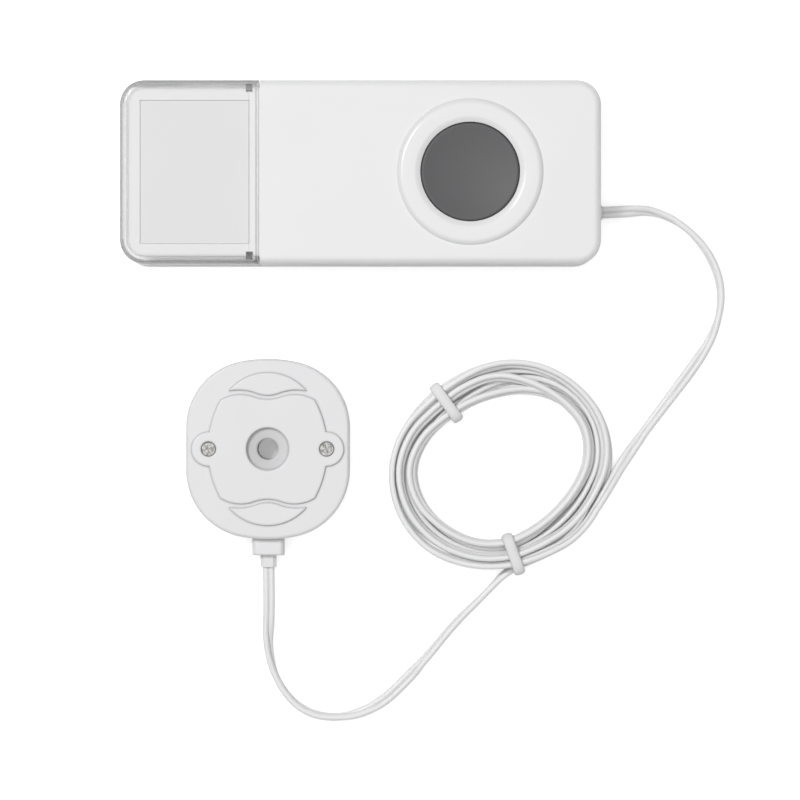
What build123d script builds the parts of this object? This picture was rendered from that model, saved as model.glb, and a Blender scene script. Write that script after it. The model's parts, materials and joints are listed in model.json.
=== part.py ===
"""Water leak sensor: a wireless transmitter, a contact probe and the flat twin lead between them.

Millimetres. Both housings lie on their backs on one surface, z = 0. The origin is the centre of the
transmitter's back face; X runs along the transmitter, Y across it, Z out of its front.
"""
from build123d import *
import math
import os

os.makedirs("parts", exist_ok=True)

# Transmitter case
case_length = 99.2
case_width = 37.9
case_height = 17.0
corner_radius = 5.0
face_edge_radius = 1.5
wall = 1.6
roof = 1.8
floor_thickness = 1.6
rim_width = 2.5
parting_height = 4.5
parting_gap = 0.1
lip_height = 1.1
lip_gap = 0.15
back_chamfer = 0.4
wall_screw_spacing = 86.0
wall_screw_radius = 2.1

# Clear window, the tongue of the front cover under it, and the card
divider_x = -20.9
window_wall = 1.5
window_plate = 1.6
window_bevel = 0.6
slide_gap = 0.2
tongue_height = 15.1
tongue_wall = 1.2
card_x, card_y = -34.2, 0.0
card_length, card_width, card_thickness = 22.6, 29.7, 0.3
card_recess = 0.5
card_gap = 0.15
rail_low, rail_high = 8.1, 9.3
rail_reach = 0.6
rail_gap = 0.1
latch_x = -22.8
latch_length, latch_reach, latch_depth = 1.4, 0.85, 6.0

# Button and the raised ring round it
button_x = 22.6
button_radius = 10.15
button_gap = 0.15
button_rim_height = 17.3
button_dish = 0.9
dish_radius = 6.0
button_skin = 1.5
button_skirt = 1.2
skirt_low = 12.9
tab_reach, tab_half_width = 11.6, 1.5
tab_low, tab_high = 14.1, 15.0
ring_outer_radius = 15.1
ring_height = 17.75
ring_round_width = 1.3
ring_slope_width, ring_slope_drop = 1.1, 0.35
ring_facets = 2
hook_count = 3
hook_radius, hook_half_width = 12.4, 1.5
post_half = 1.6
post_clearance = 0.52

# Circuit board and what is on it
board_low = 4.4
board_thickness = 1.6
board_left, board_right = -24.0, 38.0
board_half_width = 15.2
board_post_x = (-20.5, 34.5)
board_post_y = 12.2
board_post_half = 2.2
lip_start_x = -18.6
switch_size = 6.0
switch_height = 3.5
plunger_radius = 1.75
plunger_rise = 0.9
connector_x, plug_face = 29.6, 1.8

# Battery, a 12 V cell 28.5 mm long, lying across the case
battery_x = -32.0
battery_radius = 5.15
battery_low_end, battery_high_end = -13.6, 13.9
battery_height = 7.05
contact_width = 9.6
contact_thickness = 0.4
contact_top = 11.6

# Probe
probe_x, probe_y = -19.4, -57.2
probe_half_width = 17.0
probe_half_length = 18.8
probe_side = 4.5
probe_corner_radius = 14.0
probe_top_radius = 29.0
probe_height = 8.6
relief_height = 0.4
probe_back_thickness = 1.5
probe_hole_radius = 2.2
probe_recess_radius = 4.46
probe_recess_depth = 1.2
probe_column_half = 4.2
probe_rim = 1.4
contact_offset = 12.3
contact_head_radius = 1.4
ear_radius = 3.55
neck_width, neck_end_y = 6.6, -22.2
collar_width, collar_end_y = 3.3, -24.8
lead_mouth_height = 3.2

# Flat twin lead, its coil and the two ties
lead_width = 2.4
lead_thickness = 1.2
exit_y = -7.8
grommet_end_x = 50.5
coil_x, coil_y = 29.3, -60.6
coil_radius = 21.6
coil_pitch = 2.0
coil_turns_per_layer = 3
coil_straight = 3.0
coil_lift = 0.6
layer_pitch = 2.85
coil_start_angle, coil_end_angle = -35.0, -55.0
coil_tail = 6.0
tie_width = 2.4
tie_thickness = 0.5
tie_gap = 0.3
upper_tie_angle, lower_tie_angle = 131.0, -82.0

board_high = board_low + board_thickness
switch_top = board_high + switch_height
plunger_top = switch_top + plunger_rise
lower_layer_z = coil_lift + lead_width / 2
upper_layer_z = lower_layer_z + layer_pitch


def block(x_low, x_high, y_low, y_high, z_low, z_high):
    """A box given by its six sides."""
    centre = Pos((x_low + x_high) / 2, (y_low + y_high) / 2, (z_low + z_high) / 2)
    return centre * Box(x_high - x_low, y_high - y_low, z_high - z_low)


def post(x, y, z_low, z_high, radius):
    """A round post standing along Z."""
    return Pos(x, y, (z_low + z_high) / 2) * Cylinder(radius, z_high - z_low)


def small_post(x, y, z_low, z_high, radius):
    """An eight-sided post, for shanks and pilot holes that nobody sees."""
    return Pos(x, y, z_low) * extrude(RegularPolygon(radius, 8), z_high - z_low)


def case_slab(inset, z_low, z_high):
    """The case outline, moved in by inset, as a slab."""
    outline = RectangleRounded(
        case_length - 2 * inset, case_width - 2 * inset, corner_radius - inset
    )
    return Pos(0, 0, z_low) * extrude(outline, z_high - z_low)


def left_of(x):
    """Everything on the left of x, to keep one end of the case."""
    return block(-60, x, -30, 30, -5, 40)


def right_of(x):
    """Everything on the right of x, to keep one end of the case."""
    return block(x, 60, -30, 30, -5, 40)


def square_post(x, y, z_low, z_high, half):
    """A square post standing along Z."""
    return block(x - half, x + half, y - half, y + half, z_low, z_high)


def save(name, shape):
    export_step(shape, f"parts/{name}.step")


def rear_case():
    """Tray with a locating lip, board posts, battery cradle and the two wall screw holes."""
    tray = case_slab(0, 0, parting_height)
    tray = chamfer(tray.faces().sort_by(Axis.Z)[0].outer_wire().edges(), back_chamfer)
    tray -= case_slab(rim_width, floor_thickness, parting_height + 1)
    lip = case_slab(wall + lip_gap, parting_height - 0.3, parting_height + lip_height)
    lip -= case_slab(rim_width, 0, case_height)
    tray += lip & right_of(lip_start_x)
    for x in (-20, 20):
        tray -= block(x - 14, x + 14, -13, 13, -1, 0.3)
    rib_top = floor_thickness + 1.2
    tray += [square_post(x, side * board_post_y, floor_thickness, board_low, board_post_half)
             for x in board_post_x for side in (-1, 1)]
    tray += [block(*board_post_x, side * board_post_y - 0.5, side * board_post_y + 0.5,
                   floor_thickness, rib_top) for side in (-1, 1)]
    tray += [block(x - 0.5, x + 0.5, -board_post_y, board_post_y, floor_thickness, rib_top)
             for x in (-12, 7, 26)]
    for x, y in screw_places():
        tray -= small_post(x, y, floor_thickness + 0.2, board_high, 0.9)
    tray += battery_cradle()
    for x in (-wall_screw_spacing / 2, wall_screw_spacing / 2):
        tray -= post(x, 0, -1, floor_thickness + 1, wall_screw_radius)
    tray -= block(46, 52, exit_y - 1.6, exit_y + 1.6, 3.45, case_height)
    tray -= block(case_length / 2 - 1.0, 52, 5.5, 12.5, parting_height - 1.2, parting_height + 1)
    return tray


def screw_places():
    return [(board_post_x[0], board_post_y), (board_post_x[1], -board_post_y)]


def battery_cradle():
    """Two curved saddles under the cell and a slotted post at each corner of the contacts."""
    pieces = []
    cell = Pos(battery_x, 0, battery_height) * Rot(90, 0, 0) * Cylinder(battery_radius + 0.05, 40)
    for y in (-8, 8):
        saddle = block(battery_x - 5, battery_x + 5, y - 1, y + 1, floor_thickness, 4.2)
        pieces.append(saddle - cell)
    half = contact_width / 2
    for side in (-1, 1):
        low_y, high_y = sorted((side * 14.3, side * 15.8))
        slot_low, slot_high = sorted((side * 14.85, side * 15.35))
        for end in (-1, 1):
            x_low, x_high = sorted((battery_x + end * (half - 0.7), battery_x + end * (half + 0.9)))
            corner = block(x_low, x_high, low_y, high_y, floor_thickness, 8.0)
            pieces.append(corner - block(battery_x - half - 0.05, battery_x + half + 4,
                                         slot_low, slot_high, floor_thickness + 0.4, 9))
    return pieces


def front_cover():
    """White cover: the hood over the board and the lower tongue that the clear window slides on."""
    bottom = parting_height + parting_gap
    hood = case_slab(0, bottom, case_height)
    hood = fillet(hood.faces().sort_by(Axis.Z)[-1].outer_wire().edges(), face_edge_radius)
    hood = hood & right_of(divider_x + slide_gap)
    inset = window_wall + slide_gap
    tongue = case_slab(inset, bottom, tongue_height) & left_of(divider_x + 1)
    cover = hood + tongue
    jog_x = divider_x + slide_gap + wall
    cover -= case_slab(wall, 0, case_height - roof) & right_of(jog_x)
    cover -= case_slab(inset + tongue_wall, 0, tongue_height - roof) & left_of(jog_x + 0.5)
    card_low = tongue_height - card_recess
    cover -= Pos(card_x, card_y, card_low + 1) * Box(card_length, card_width, 2)
    cover -= post(button_x, 0, 10, 20, button_radius + button_gap)
    slot = block(hook_radius - 0.1, hook_radius + 0.9, -hook_half_width - 0.1, hook_half_width + 0.1,
                 case_height - roof - 1, case_height + 1)
    cover -= [Pos(button_x, 0, 0) * Rot(0, 0, 90 + i * 360 / hook_count) * slot
              for i in range(hook_count)]
    tongue_side = case_width / 2 - inset
    groove_low, groove_high = rail_low - rail_gap, rail_high + rail_gap
    for side in (-1, 1):
        edge = side * tongue_side
        y_low, y_high = sorted((edge - side * rail_reach, edge + side * 1))
        groove = block(-50, divider_x + slide_gap, y_low, y_high, groove_low, groove_high)
        cover -= groove & left_of(divider_x + slide_gap)
        y_low, y_high = sorted((edge - side * latch_reach, edge + side * 0.1))
        cover -= block(latch_x - latch_length / 2, latch_x + latch_length / 2, y_low, y_high,
                       tongue_height - latch_depth, 16)
    cover += [square_post(x, y, board_high + 0.2, case_height - roof, 1.3)
              for x, y in ((8, -12.5), (board_post_x[1], board_post_y))]
    cover += [block(x - 0.5, x + 0.5, -17.8, 17.8, 13.4, case_height - roof) for x in (-11, -1)]
    cover -= block(46, 52, exit_y - 1.6, exit_y + 1.6, 0, 5.65)
    return cover


def label_window():
    """Clear cap with a rail inside each long wall, open at the right where it meets the hood."""
    bottom = parting_height + parting_gap
    cap = case_slab(0, bottom, case_height)
    cap = fillet(cap.faces().sort_by(Axis.Z)[-1].outer_wire().edges(), face_edge_radius)
    cap -= case_slab(window_wall, 0, case_height - window_plate)
    cap = cap & left_of(divider_x)
    bevel = Polygon((divider_x - window_bevel, case_height), (divider_x, case_height),
                    (divider_x, case_height - window_bevel), align=None)
    cap -= extrude(Plane.XZ * bevel, case_width, both=True)
    wall_face = case_width / 2 - window_wall
    for side in (-1, 1):
        y_low, y_high = sorted((side * (wall_face - rail_reach), side * (wall_face + 0.3)))
        cap += block(-45.5, divider_x - 0.2, y_low, y_high, rail_low, rail_high)
    return cap


def name_card():
    length, width = card_length - 2 * card_gap, card_width - 2 * card_gap
    bed = tongue_height - card_recess
    return Pos(card_x, card_y, bed + card_thickness / 2) * Box(length, width, card_thickness)


def button_bezel():
    """Raised ring that lies on the cover, held by three snap hooks through slots beside the button."""
    inner, outer = button_radius + button_gap, ring_outer_radius
    edge_turn = 2 * math.atan((ring_height - case_height) / ring_round_width)
    edge_radius = ring_round_width / math.sin(edge_turn)
    turns = [edge_turn * (1 - i / ring_facets) for i in range(ring_facets + 1)]
    rounding = [(outer - ring_round_width + edge_radius * math.sin(turn),
                 ring_height - edge_radius * (1 - math.cos(turn))) for turn in turns]
    profile = Polygon((inner, case_height), *rounding, (inner + ring_slope_width, ring_height),
                      (inner, ring_height - ring_slope_drop), align=None)
    ring = revolve(Plane.XZ * profile, Axis.Z)
    under_roof = case_height - roof - 0.1
    hook = block(hook_radius, hook_radius + 0.8, -hook_half_width, hook_half_width,
                 under_roof - 0.8, case_height + 0.1)
    hook += block(hook_radius, hook_radius + 1.3, -hook_half_width, hook_half_width,
                  under_roof - 0.8, under_roof)
    ring += [Rot(0, 0, 90 + i * 360 / hook_count) * hook for i in range(hook_count)]
    return Pos(button_x, 0, 0) * ring


def button_cap():
    """Dished push button: skirt, four retaining tabs and the post that reaches the switch."""
    ceiling = button_rim_height - button_dish - button_skin
    skirt = button_radius - button_skirt
    dish_floor = button_rim_height - button_dish
    profile = Polygon((0, ceiling), (skirt, ceiling), (skirt, skirt_low), (button_radius, skirt_low),
                      (button_radius, button_rim_height), (dish_radius, dish_floor), (0, dish_floor),
                      align=None)
    cap = revolve(Plane.XZ * profile, Axis.Z)
    cap += square_post(0, 0, plunger_top + post_clearance, ceiling + 0.2, post_half)
    cap += [Rot(0, 0, 45 + i * 90) * block(button_radius - 1, tab_reach, -tab_half_width,
                                           tab_half_width, tab_low, tab_high) for i in range(4)]
    return Pos(button_x, 0, 0) * cap


def circuit_board():
    board = block(board_left, board_right, -board_half_width, board_half_width, board_low, board_high)
    for x, y in screw_places():
        board -= small_post(x, y, 0, 10, 1.3)
    return board


def tactile_switch():
    """Square switch body with a steel top plate, a round well for its plunger and four legs."""
    half = switch_size / 2
    body = block(-half, half, -half, half, board_high, switch_top)
    body -= post(0, 0, switch_top - 1.3, switch_top + 1, plunger_radius + 0.06)
    leg = block(half - 0.2, half + 0.6, -0.35, 0.35, board_high + 0.6, board_high + 1.0)
    leg += block(half + 0.3, half + 0.6, -0.35, 0.35, board_high, board_high + 1.0)
    for y in (-2.25, 2.25):
        body += Pos(0, y, 0) * leg
        body += Pos(0, y, 0) * leg.mirror(Plane.YZ)
    return Pos(button_x, 0, 0) * body


def switch_plunger():
    return post(button_x, 0, switch_top - 0.9, plunger_top, plunger_radius)


def battery():
    """12 V cell with the small nub of its positive end."""
    middle = (battery_low_end + battery_high_end) / 2
    length = battery_high_end - battery_low_end
    lying = Pos(battery_x, middle, battery_height) * Rot(-90, 0, 0)
    cell = Cylinder(battery_radius, length)
    cell += small_post(0, 0, length / 2 - 0.1, length / 2 + 0.9, 2.4)
    return lying * cell


def battery_contact_positive():
    """Flat spring-steel plate with a foot that reaches over to the board."""
    half = contact_width / 2
    inner = battery_high_end + 0.95
    plate = block(battery_x - half, battery_x + half, inner, inner + contact_thickness,
                  floor_thickness + 0.45, contact_top)
    plate += block(battery_x + half - 0.5, board_left + 1.3, inner, inner + contact_thickness,
                   board_high, board_high + 1.8)
    plate += block(board_left + 0.3, board_left + 1.3, inner - 2, inner + 0.1,
                   board_high, board_high + contact_thickness)
    return plate


def battery_contact_negative():
    """Plate with a bowed leaf that presses on the flat end of the cell."""
    half = contact_width / 2
    back = -15.25
    plate = block(battery_x - half, battery_x + half, back, back + contact_thickness,
                  floor_thickness + 0.45, contact_top)
    plate += block(battery_x + half - 0.5, board_left + 1.3, back, back + contact_thickness,
                   board_high, board_high + 1.8)
    plate += block(board_left + 0.3, board_left + 1.3, back + 0.1, back + 2.4,
                   board_high, board_high + contact_thickness)
    reach = battery_low_end - 0.02
    leaf_path = [(back + 0.3, 3.2), (reach, battery_height), (back + 0.3, 10.9)]
    outer = ThreePointArc(*leaf_path)
    inner_path = [(y - 0.35 if z == battery_height else y, z + (0.5 if z < 7 else -0.5 if z > 8 else 0))
                  for y, z in leaf_path]
    inner = ThreePointArc(*inner_path)
    profile = Face(Wire([outer, Line(outer @ 1, inner @ 1), inner, Line(inner @ 0, outer @ 0)]))
    leaf = extrude(Plane.YZ * profile, 1.6, both=True)
    return plate + Pos(battery_x, 0, 0) * leaf


def gull_leg(x, y, side):
    """One bent leg of a chip, reaching out along Y."""
    low = board_high
    y_in, y_knee, y_toe = y, y + side * 0.45, y + side * 1.1
    leg = block(x - 0.2, x + 0.2, *sorted((y_in - side * 0.2, y_knee)), low + 0.7, low + 0.9)
    leg += block(x - 0.2, x + 0.2, *sorted((y_knee - side * 0.2, y_knee)), low, low + 0.9)
    leg += block(x - 0.2, x + 0.2, *sorted((y_knee - side * 0.2, y_toe)), low, low + 0.2)
    return leg


def control_chip():
    """Eight-leg controller."""
    x, y = 2.0, -3.0
    body = block(x - 2.45, x + 2.45, y - 1.95, y + 1.95, board_high + 0.15, board_high + 1.6)
    for i in range(4):
        leg_x = x + (i - 1.5) * 1.27
        body += gull_leg(leg_x, y + 1.95, 1)
        body += gull_leg(leg_x, y - 1.95, -1)
    return body


def radio_module():
    """Small upright board with a shield can, on a row of pins."""
    x, y = -10.0, 4.0
    module = block(x - 6.5, x + 6.5, y - 0.4, y + 0.4, board_high + 0.8, board_high + 6.6)
    module += block(x - 4.5, x + 4.5, y + 0.3, y + 2.0, board_high + 1.6, board_high + 5.9)
    module += [block(x + i * 2.0 - 0.25, x + i * 2.0 + 0.25, y - 0.25, y + 0.25,
                     board_high, board_high + 1) for i in (-3, -2, -1, 1, 2, 3)]
    return module


def timing_crystal():
    """Flat crystal with a stepped lid."""
    crystal = block(0.0, 5.0, 5.9, 9.1, board_high, board_high + 0.8)
    return crystal + block(0.4, 4.6, 6.3, 8.7, board_high + 0.8, board_high + 1.2)


def storage_capacitor():
    """Small upright can."""
    return post(13.0, 9.5, board_high, board_high + 5.4, 2.5)


def chip_components():
    """Two rows of small chip resistors and capacitors."""
    rows = [(-14 + i * 3.0, -9.5) for i in range(5)] + [(9.0 + i * 3.0, -8.5) for i in range(4)]
    pieces = [block(x - 0.4, x + 0.4, y - 0.8, y + 0.8, board_high, board_high + 0.6)
              for x, y in rows]
    return Compound(children=pieces)


def tube(points, radii, section_radius, sides):
    """A cord's tube: straight runs joined by tangent arcs, with a many-sided section."""
    path = FilletPolyline(*points, radius=radii)
    start = Plane(origin=path @ 0, z_dir=path % 0)
    section = start * RegularPolygon(section_radius, sides, major_radius=True, rotation=180 / sides)
    return sweep(section, path), path, section.area


def bent_wire(points, radius):
    """A thin inner wire with sharp bends."""
    path = Polyline(*points)
    section = Plane(origin=path @ 0, z_dir=path % 0) * RegularPolygon(radius, 6)
    return sweep(section, path, transition=Transition.RIGHT)


def antenna_wire():
    """Wire loop standing on the board along its top edge."""
    return bent_wire([(-19, 9.5, board_high), (-19, 9.5, 9.4), (-16, 13.2, 9.6), (12, 13.2, 9.6),
                      (15.5, 12.9, 9.3), (15.5, 12.9, board_high)], 0.4)


def board_screws():
    """Two pan-head screws that hold the board."""
    screws = []
    for x, y in screw_places():
        head = small_post(x, y, board_high, board_high + 1.4, 2.0)
        head -= block(x - 1.4, x + 1.4, y - 0.25, y + 0.25, board_high + 0.9, board_high + 2)
        screws.append(head + small_post(x, y, 2.2, board_high, 0.82))
    return Compound(children=screws)


def lead_connector():
    """Two-pin plug and its header on the board."""
    x, y = connector_x, exit_y
    header = block(x - 3, x + 2.2, y - 3.2, y + 3.2, board_high, board_high + 4.8)
    header -= block(x - 2.2, x + 3, y - 2.5, y + 2.5, board_high + 0.8, board_high + 4.1)
    header += block(x - 2.3, x + plug_face, y - 2.3, y + 2.3, board_high + 1.0, board_high + 3.9)
    return header


def lead_tails():
    """The two insulated conductors from the grommet up to the plug."""
    tails = []
    for side in (-1, 1):
        y = exit_y + side * 0.6
        plug_end = connector_x + plug_face
        tails.append(bent_wire([(43.0, y, 4.5), (41.2, y, 4.5), (39.2, y, 8.2),
                                (plug_end + 1, exit_y + side, 8.45),
                                (plug_end, exit_y + side, 8.45)], 0.5))
    return Compound(children=tails)


def lead_grommet():
    """Soft sleeve moulded on the lead: a block behind the wall and a neck through it."""
    anchor = block(43.0, 46.6, exit_y - 2.6, exit_y + 2.6, 2.7, 6.6)
    neck = block(46.0, grommet_end_x, exit_y - 1.45, exit_y + 1.45, 3.55, 5.55)
    return (chamfer(anchor.edges().filter_by(Axis.X), 0.8)
            + chamfer(neck.edges().filter_by(Axis.X), 0.6))


def probe_outline(inset=0.0):
    """Straight sides, rounded corners and a flatter curve at the top and bottom, moved in by inset."""
    corner, top = probe_corner_radius - inset, probe_top_radius - inset
    side_x = probe_half_width - inset
    corner_x, corner_y = probe_half_width - probe_corner_radius, probe_side
    top_y = probe_half_length - probe_top_radius
    reach = math.hypot(corner_x, corner_y - top_y)
    join_x = top * corner_x / reach
    join_y = top_y + top * (corner_y - top_y) / reach
    middle = math.radians(35)
    bulge = (corner_x + corner * math.cos(middle), corner_y + corner * math.sin(middle))
    upper = [
        Line((side_x, 0), (side_x, corner_y)),
        ThreePointArc((side_x, corner_y), bulge, (join_x, join_y)),
        ThreePointArc((join_x, join_y), (0, top_y + top), (-join_x, join_y)),
        ThreePointArc((-join_x, join_y), (-bulge[0], bulge[1]), (-side_x, corner_y)),
        Line((-side_x, corner_y), (-side_x, 0)),
    ]
    lower = [edge.mirror(Plane.XZ) for edge in upper]
    return Face(Wire(upper + lower))


def wave(end, hump, dip):
    """A wavy edge from left to right: two humps with a dip between them."""
    (end_x, end_y), (hump_x, hump_y) = end, hump
    turn = (hump_x / 2, (hump_y + dip) / 2)
    return [ThreePointArc((-end_x, end_y), (-hump_x, hump_y), (-turn[0], turn[1])),
            ThreePointArc((-turn[0], turn[1]), (0, dip), turn),
            ThreePointArc(turn, (hump_x, hump_y), (end_x, end_y))]


def probe_relief():
    """The raised middle panel, its two ears and the two crescents, as one height of relief."""
    top = wave((9.8, 10.2), (5.6, 11.3), 10.3)
    right = ThreePointArc((9.8, 10.2), (12.4, 0), (9.8, -10.2))
    bottom = wave((9.8, -10.2), (5.6, -11.4), -10.4)
    left = ThreePointArc((-9.8, -10.2), (-12.4, 0), (-9.8, 10.2))
    panel = Face(Wire([*top, right, *bottom, left]))
    crescent_arc = ThreePointArc((-8.1, 12.1), (0, 15.9), (8.1, 12.1))
    crescent = Face(Wire([crescent_arc, *wave((8.1, 12.1), (5.3, 12.3), 11.2)]))
    low, rise = probe_height - 0.2, relief_height + 0.2
    up = (0, 0, 1)
    relief = Pos(0, 0, low) * extrude(panel, rise, dir=up)
    relief += [post(side * contact_offset, 0, low, low + rise, ear_radius) for side in (-1, 1)]
    raised_crescent = Pos(0, 0, low) * extrude(crescent, rise, dir=up)
    return relief + [raised_crescent, raised_crescent.mirror(Plane.XZ)]


def probe_shell():
    """Moulded body with relief, screw hole, contact bosses, wire channels and the neck for the lead."""
    shell = extrude(probe_outline(), probe_height)
    shell = chamfer(shell.faces().sort_by(Axis.Z)[-1].outer_wire().edges(), 0.4)
    neck = block(-neck_width / 2, neck_width / 2, neck_end_y, -17.5, 0.4, 6.2)
    shell += chamfer(neck.edges().filter_by(Axis.Y), 0.6)
    shell += probe_relief()
    hollow = extrude(probe_outline(probe_rim), probe_back_thickness)
    hollow += block(-15.2, 15.2, -3.2, 3.2, 0, 4.0)
    hollow += block(-14.2, 14.2, -12.2, -3.0, 0, 5.6)
    hollow += block(-4.2, 4.2, -16.4, -12, 0, 5.6)
    hollow -= square_post(0, 0, 0, probe_height, probe_column_half)
    shell -= hollow
    for side in (-1, 1):
        shell -= small_post(side * contact_offset, 0, 2, 12, 0.9)
        shell -= post(side * contact_offset, 0, probe_height - 0.3, 12, contact_head_radius + 0.15)
    shell -= post(0, 0, -1, 12, probe_hole_radius)
    face = probe_height + relief_height
    shell -= post(0, 0, face - probe_recess_depth, 12, probe_recess_radius)
    shell -= block(-1.7, 1.7, -23, -16, lead_mouth_height - 1.3, lead_mouth_height + 1.3)
    return Pos(probe_x, probe_y, 0) * shell


def probe_back():
    """Back plate let into the body, open round the screw column."""
    plate = extrude(probe_outline(probe_rim + 0.1), probe_back_thickness)
    plate -= square_post(0, 0, -1, 5, probe_column_half + 0.1)
    return Pos(probe_x, probe_y, 0) * plate


def contact_screws():
    """The two steel contacts: small cross-head screws through the shell."""
    screws = []
    for side in (-1, 1):
        head_low = probe_height - 0.3
        head = post(0, 0, head_low, head_low + 0.9, contact_head_radius)
        for turn in (20, 110):
            slot = block(-0.85, 0.85, -0.16, 0.16, head_low + 0.45, head_low + 2)
            head -= Rot(0, 0, turn) * slot
        screw = head + small_post(0, 0, 1.9, head_low, 0.8)
        screws.append(Pos(probe_x + side * contact_offset, probe_y, 0) * screw)
    return Compound(children=screws)


def contact_lugs():
    """Ring terminals clamped under the contact bosses."""
    lugs = []
    for side in (-1, 1):
        lug = small_post(0, 0, 3.6, 4.0, 2.2) + block(-0.8, 0.8, -4.6, -1.5, 3.6, 4.0)
        lug -= small_post(0, 0, 3, 5, 0.85)
        lugs.append(Pos(probe_x + side * contact_offset, probe_y, 0) * lug)
    return Compound(children=lugs)


def contact_nuts():
    nuts = []
    for side in (-1, 1):
        nut = extrude(RegularPolygon(1.9, 6), 1.3) - small_post(0, 0, -1, 5, 0.82)
        nuts.append(Pos(probe_x + side * contact_offset, probe_y, 2.25) * nut)
    return Compound(children=nuts)


def probe_wires():
    """The two insulated conductors from the neck to the terminals."""
    wires = []
    for side in (-1, 1):
        wire = bent_wire([(side * contact_offset, -4.6, 3.6), (side * contact_offset, -7.5, 3.6),
                          (side * 5.0, -11.0, 3.4), (side * 0.62, -15.0, 3.2),
                          (side * 0.6, neck_end_y, lead_mouth_height)], 0.5)
        wires.append(Pos(probe_x, probe_y, 0) * wire)
    return Compound(children=wires)


def strain_relief():
    """Soft collar round the lead at the end of the neck."""
    half = collar_width / 2
    sleeve = block(-half, half, collar_end_y, neck_end_y, lead_mouth_height - 1.3,
                   lead_mouth_height + 1.3)
    return Pos(probe_x, probe_y, 0) * chamfer(sleeve.edges().filter_by(Axis.Y), 0.7)


def arc_radii(points):
    """As large as the two runs at each corner allow."""
    radii = []
    for before, corner, after in zip(points, points[1:], points[2:]):
        run_in, run_out = Vector(*corner) - Vector(*before), Vector(*after) - Vector(*corner)
        half_turn = math.radians(run_in.get_angle(run_out)) / 2
        radii.append(0.45 * min(run_in.length, run_out.length) / math.tan(half_turn))
    return radii


def free_stretch(name, points):
    radii = arc_radii(points)
    solid, path, area = tube(points, radii, lead_width / 2, 6)
    wanted = area * path.length
    print(f"{name}: length {path.length:.1f}, radii {[round(r, 1) for r in radii]},"
          f" volume {solid.volume:.1f} of {wanted:.1f}")
    return solid, path.length


def polar(angle, radius, centre_x=0.0):
    turn = math.radians(angle)
    return centre_x + radius * math.cos(turn), radius * math.sin(turn)


def coil_edges():
    """Centre line of the coil round (0, 0), clockwise: in on the upper layer, out on the lower.

    Each half turn is a half circle; right and left ones have their centres a little apart, so the
    line steps in by half a pitch each time. The innermost half turn slants down a layer.
    """
    edges = []
    half = coil_straight / 2

    def arc(start, middle, end):
        edges.append(ThreePointArc(start, middle, end))

    def run(start, end):
        edges.append(Line(start, end))

    z = upper_layer_z
    x, y = polar(coil_start_angle, coil_radius, half)
    heading = math.radians(coil_start_angle - 90)
    run((x - coil_tail * math.cos(heading), y - coil_tail * math.sin(heading), z), (x, y, z))
    middle = polar((coil_start_angle - 90) / 2, coil_radius, half)
    arc((x, y, z), (*middle, z), (half, -coil_radius, z))
    y = -coil_radius
    steps_in = [coil_radius - coil_pitch * i / 2 for i in range(1, 2 * coil_turns_per_layer)]
    reversal = coil_radius - coil_pitch * coil_turns_per_layer
    for layer_z, radii in ((upper_layer_z, steps_in), (lower_layer_z, steps_in[::-1])):
        for i, radius in enumerate(radii):
            side = -1 if i % 2 == 0 else 1
            run((-side * half, y, layer_z), (side * half, y, layer_z))
            next_y = y - side * 2 * radius
            arc((side * half, y, layer_z), (side * (half + radius), (y + next_y) / 2, layer_z),
                (side * half, next_y, layer_z))
            y = next_y
        if layer_z == upper_layer_z:
            drop = upper_layer_z - lower_layer_z
            slant = math.hypot(reversal, drop / 2)
            run((-half, y, upper_layer_z), (half, y, upper_layer_z))
            arc((half, y, upper_layer_z), (half + slant, 0, (upper_layer_z + lower_layer_z) / 2),
                (half, -y, lower_layer_z))
            y = -y
    run((-half, y, lower_layer_z), (half, y, lower_layer_z))
    x_end, y_end = polar(coil_end_angle, coil_radius, half)
    middle = polar((90 + coil_end_angle) / 2, coil_radius, half)
    arc((half, y, lower_layer_z), (*middle, lower_layer_z), (x_end, y_end, lower_layer_z))
    heading = math.radians(coil_end_angle - 90)
    tail = (x_end + coil_tail * math.cos(heading), y_end + coil_tail * math.sin(heading))
    run((x_end, y_end, lower_layer_z), (*tail, lower_layer_z))
    return edges


def least_gap(edges):
    """Smallest gap of the coil to itself, between points more than half a turn apart."""
    points = []
    for edge in edges:
        count = max(2, int(edge.length / 1.5))
        points += [edge @ (i / count) for i in range(count)]
    travelled = [0.0]
    for a, b in zip(points, points[1:]):
        travelled.append(travelled[-1] + (b - a).length)
    least = 1e9
    for i, a in enumerate(points):
        for j in range(i + 1, len(points)):
            if travelled[j] - travelled[i] < coil_radius:
                continue
            b = points[j]
            sideways = math.hypot(a.X - b.X, a.Y - b.Y) - lead_thickness
            upwards = abs(a.Z - b.Z) - lead_width
            least = min(least, max(sideways, upwards))
    return least


def strand(edge):
    """The lead, on edge, along one line or clockwise arc of the coil."""
    straight = edge.geom_type == GeomType.LINE
    up = Vector(0, 0, 1) if straight else edge.normal()
    if up.Z < 0:
        up = -up
    start = Plane(origin=edge @ 0, x_dir=up.cross(edge % 0), z_dir=edge % 0)
    section = start * Rectangle(lead_thickness, lead_width)
    if straight:
        return extrude(section, edge.length, dir=edge % 0)
    return revolve(section, Axis(edge.arc_center, -up), math.degrees(edge.length / edge.radius))


def lead_coil():
    """The wound lead as one unbroken tube."""
    edges = coil_edges()
    path = Wire(edges)
    solid = strand(edges[0]) + [strand(edge) for edge in edges[1:]]
    wanted = lead_thickness * lead_width * path.length
    print(f"coil: length {path.length:.1f}, volume {solid.volume:.1f} of {wanted:.1f},"
          f" solids {len(solid.solids())}, least gap {least_gap(edges):.2f}")
    return Pos(coil_x, coil_y, 0) * solid, path


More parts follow.
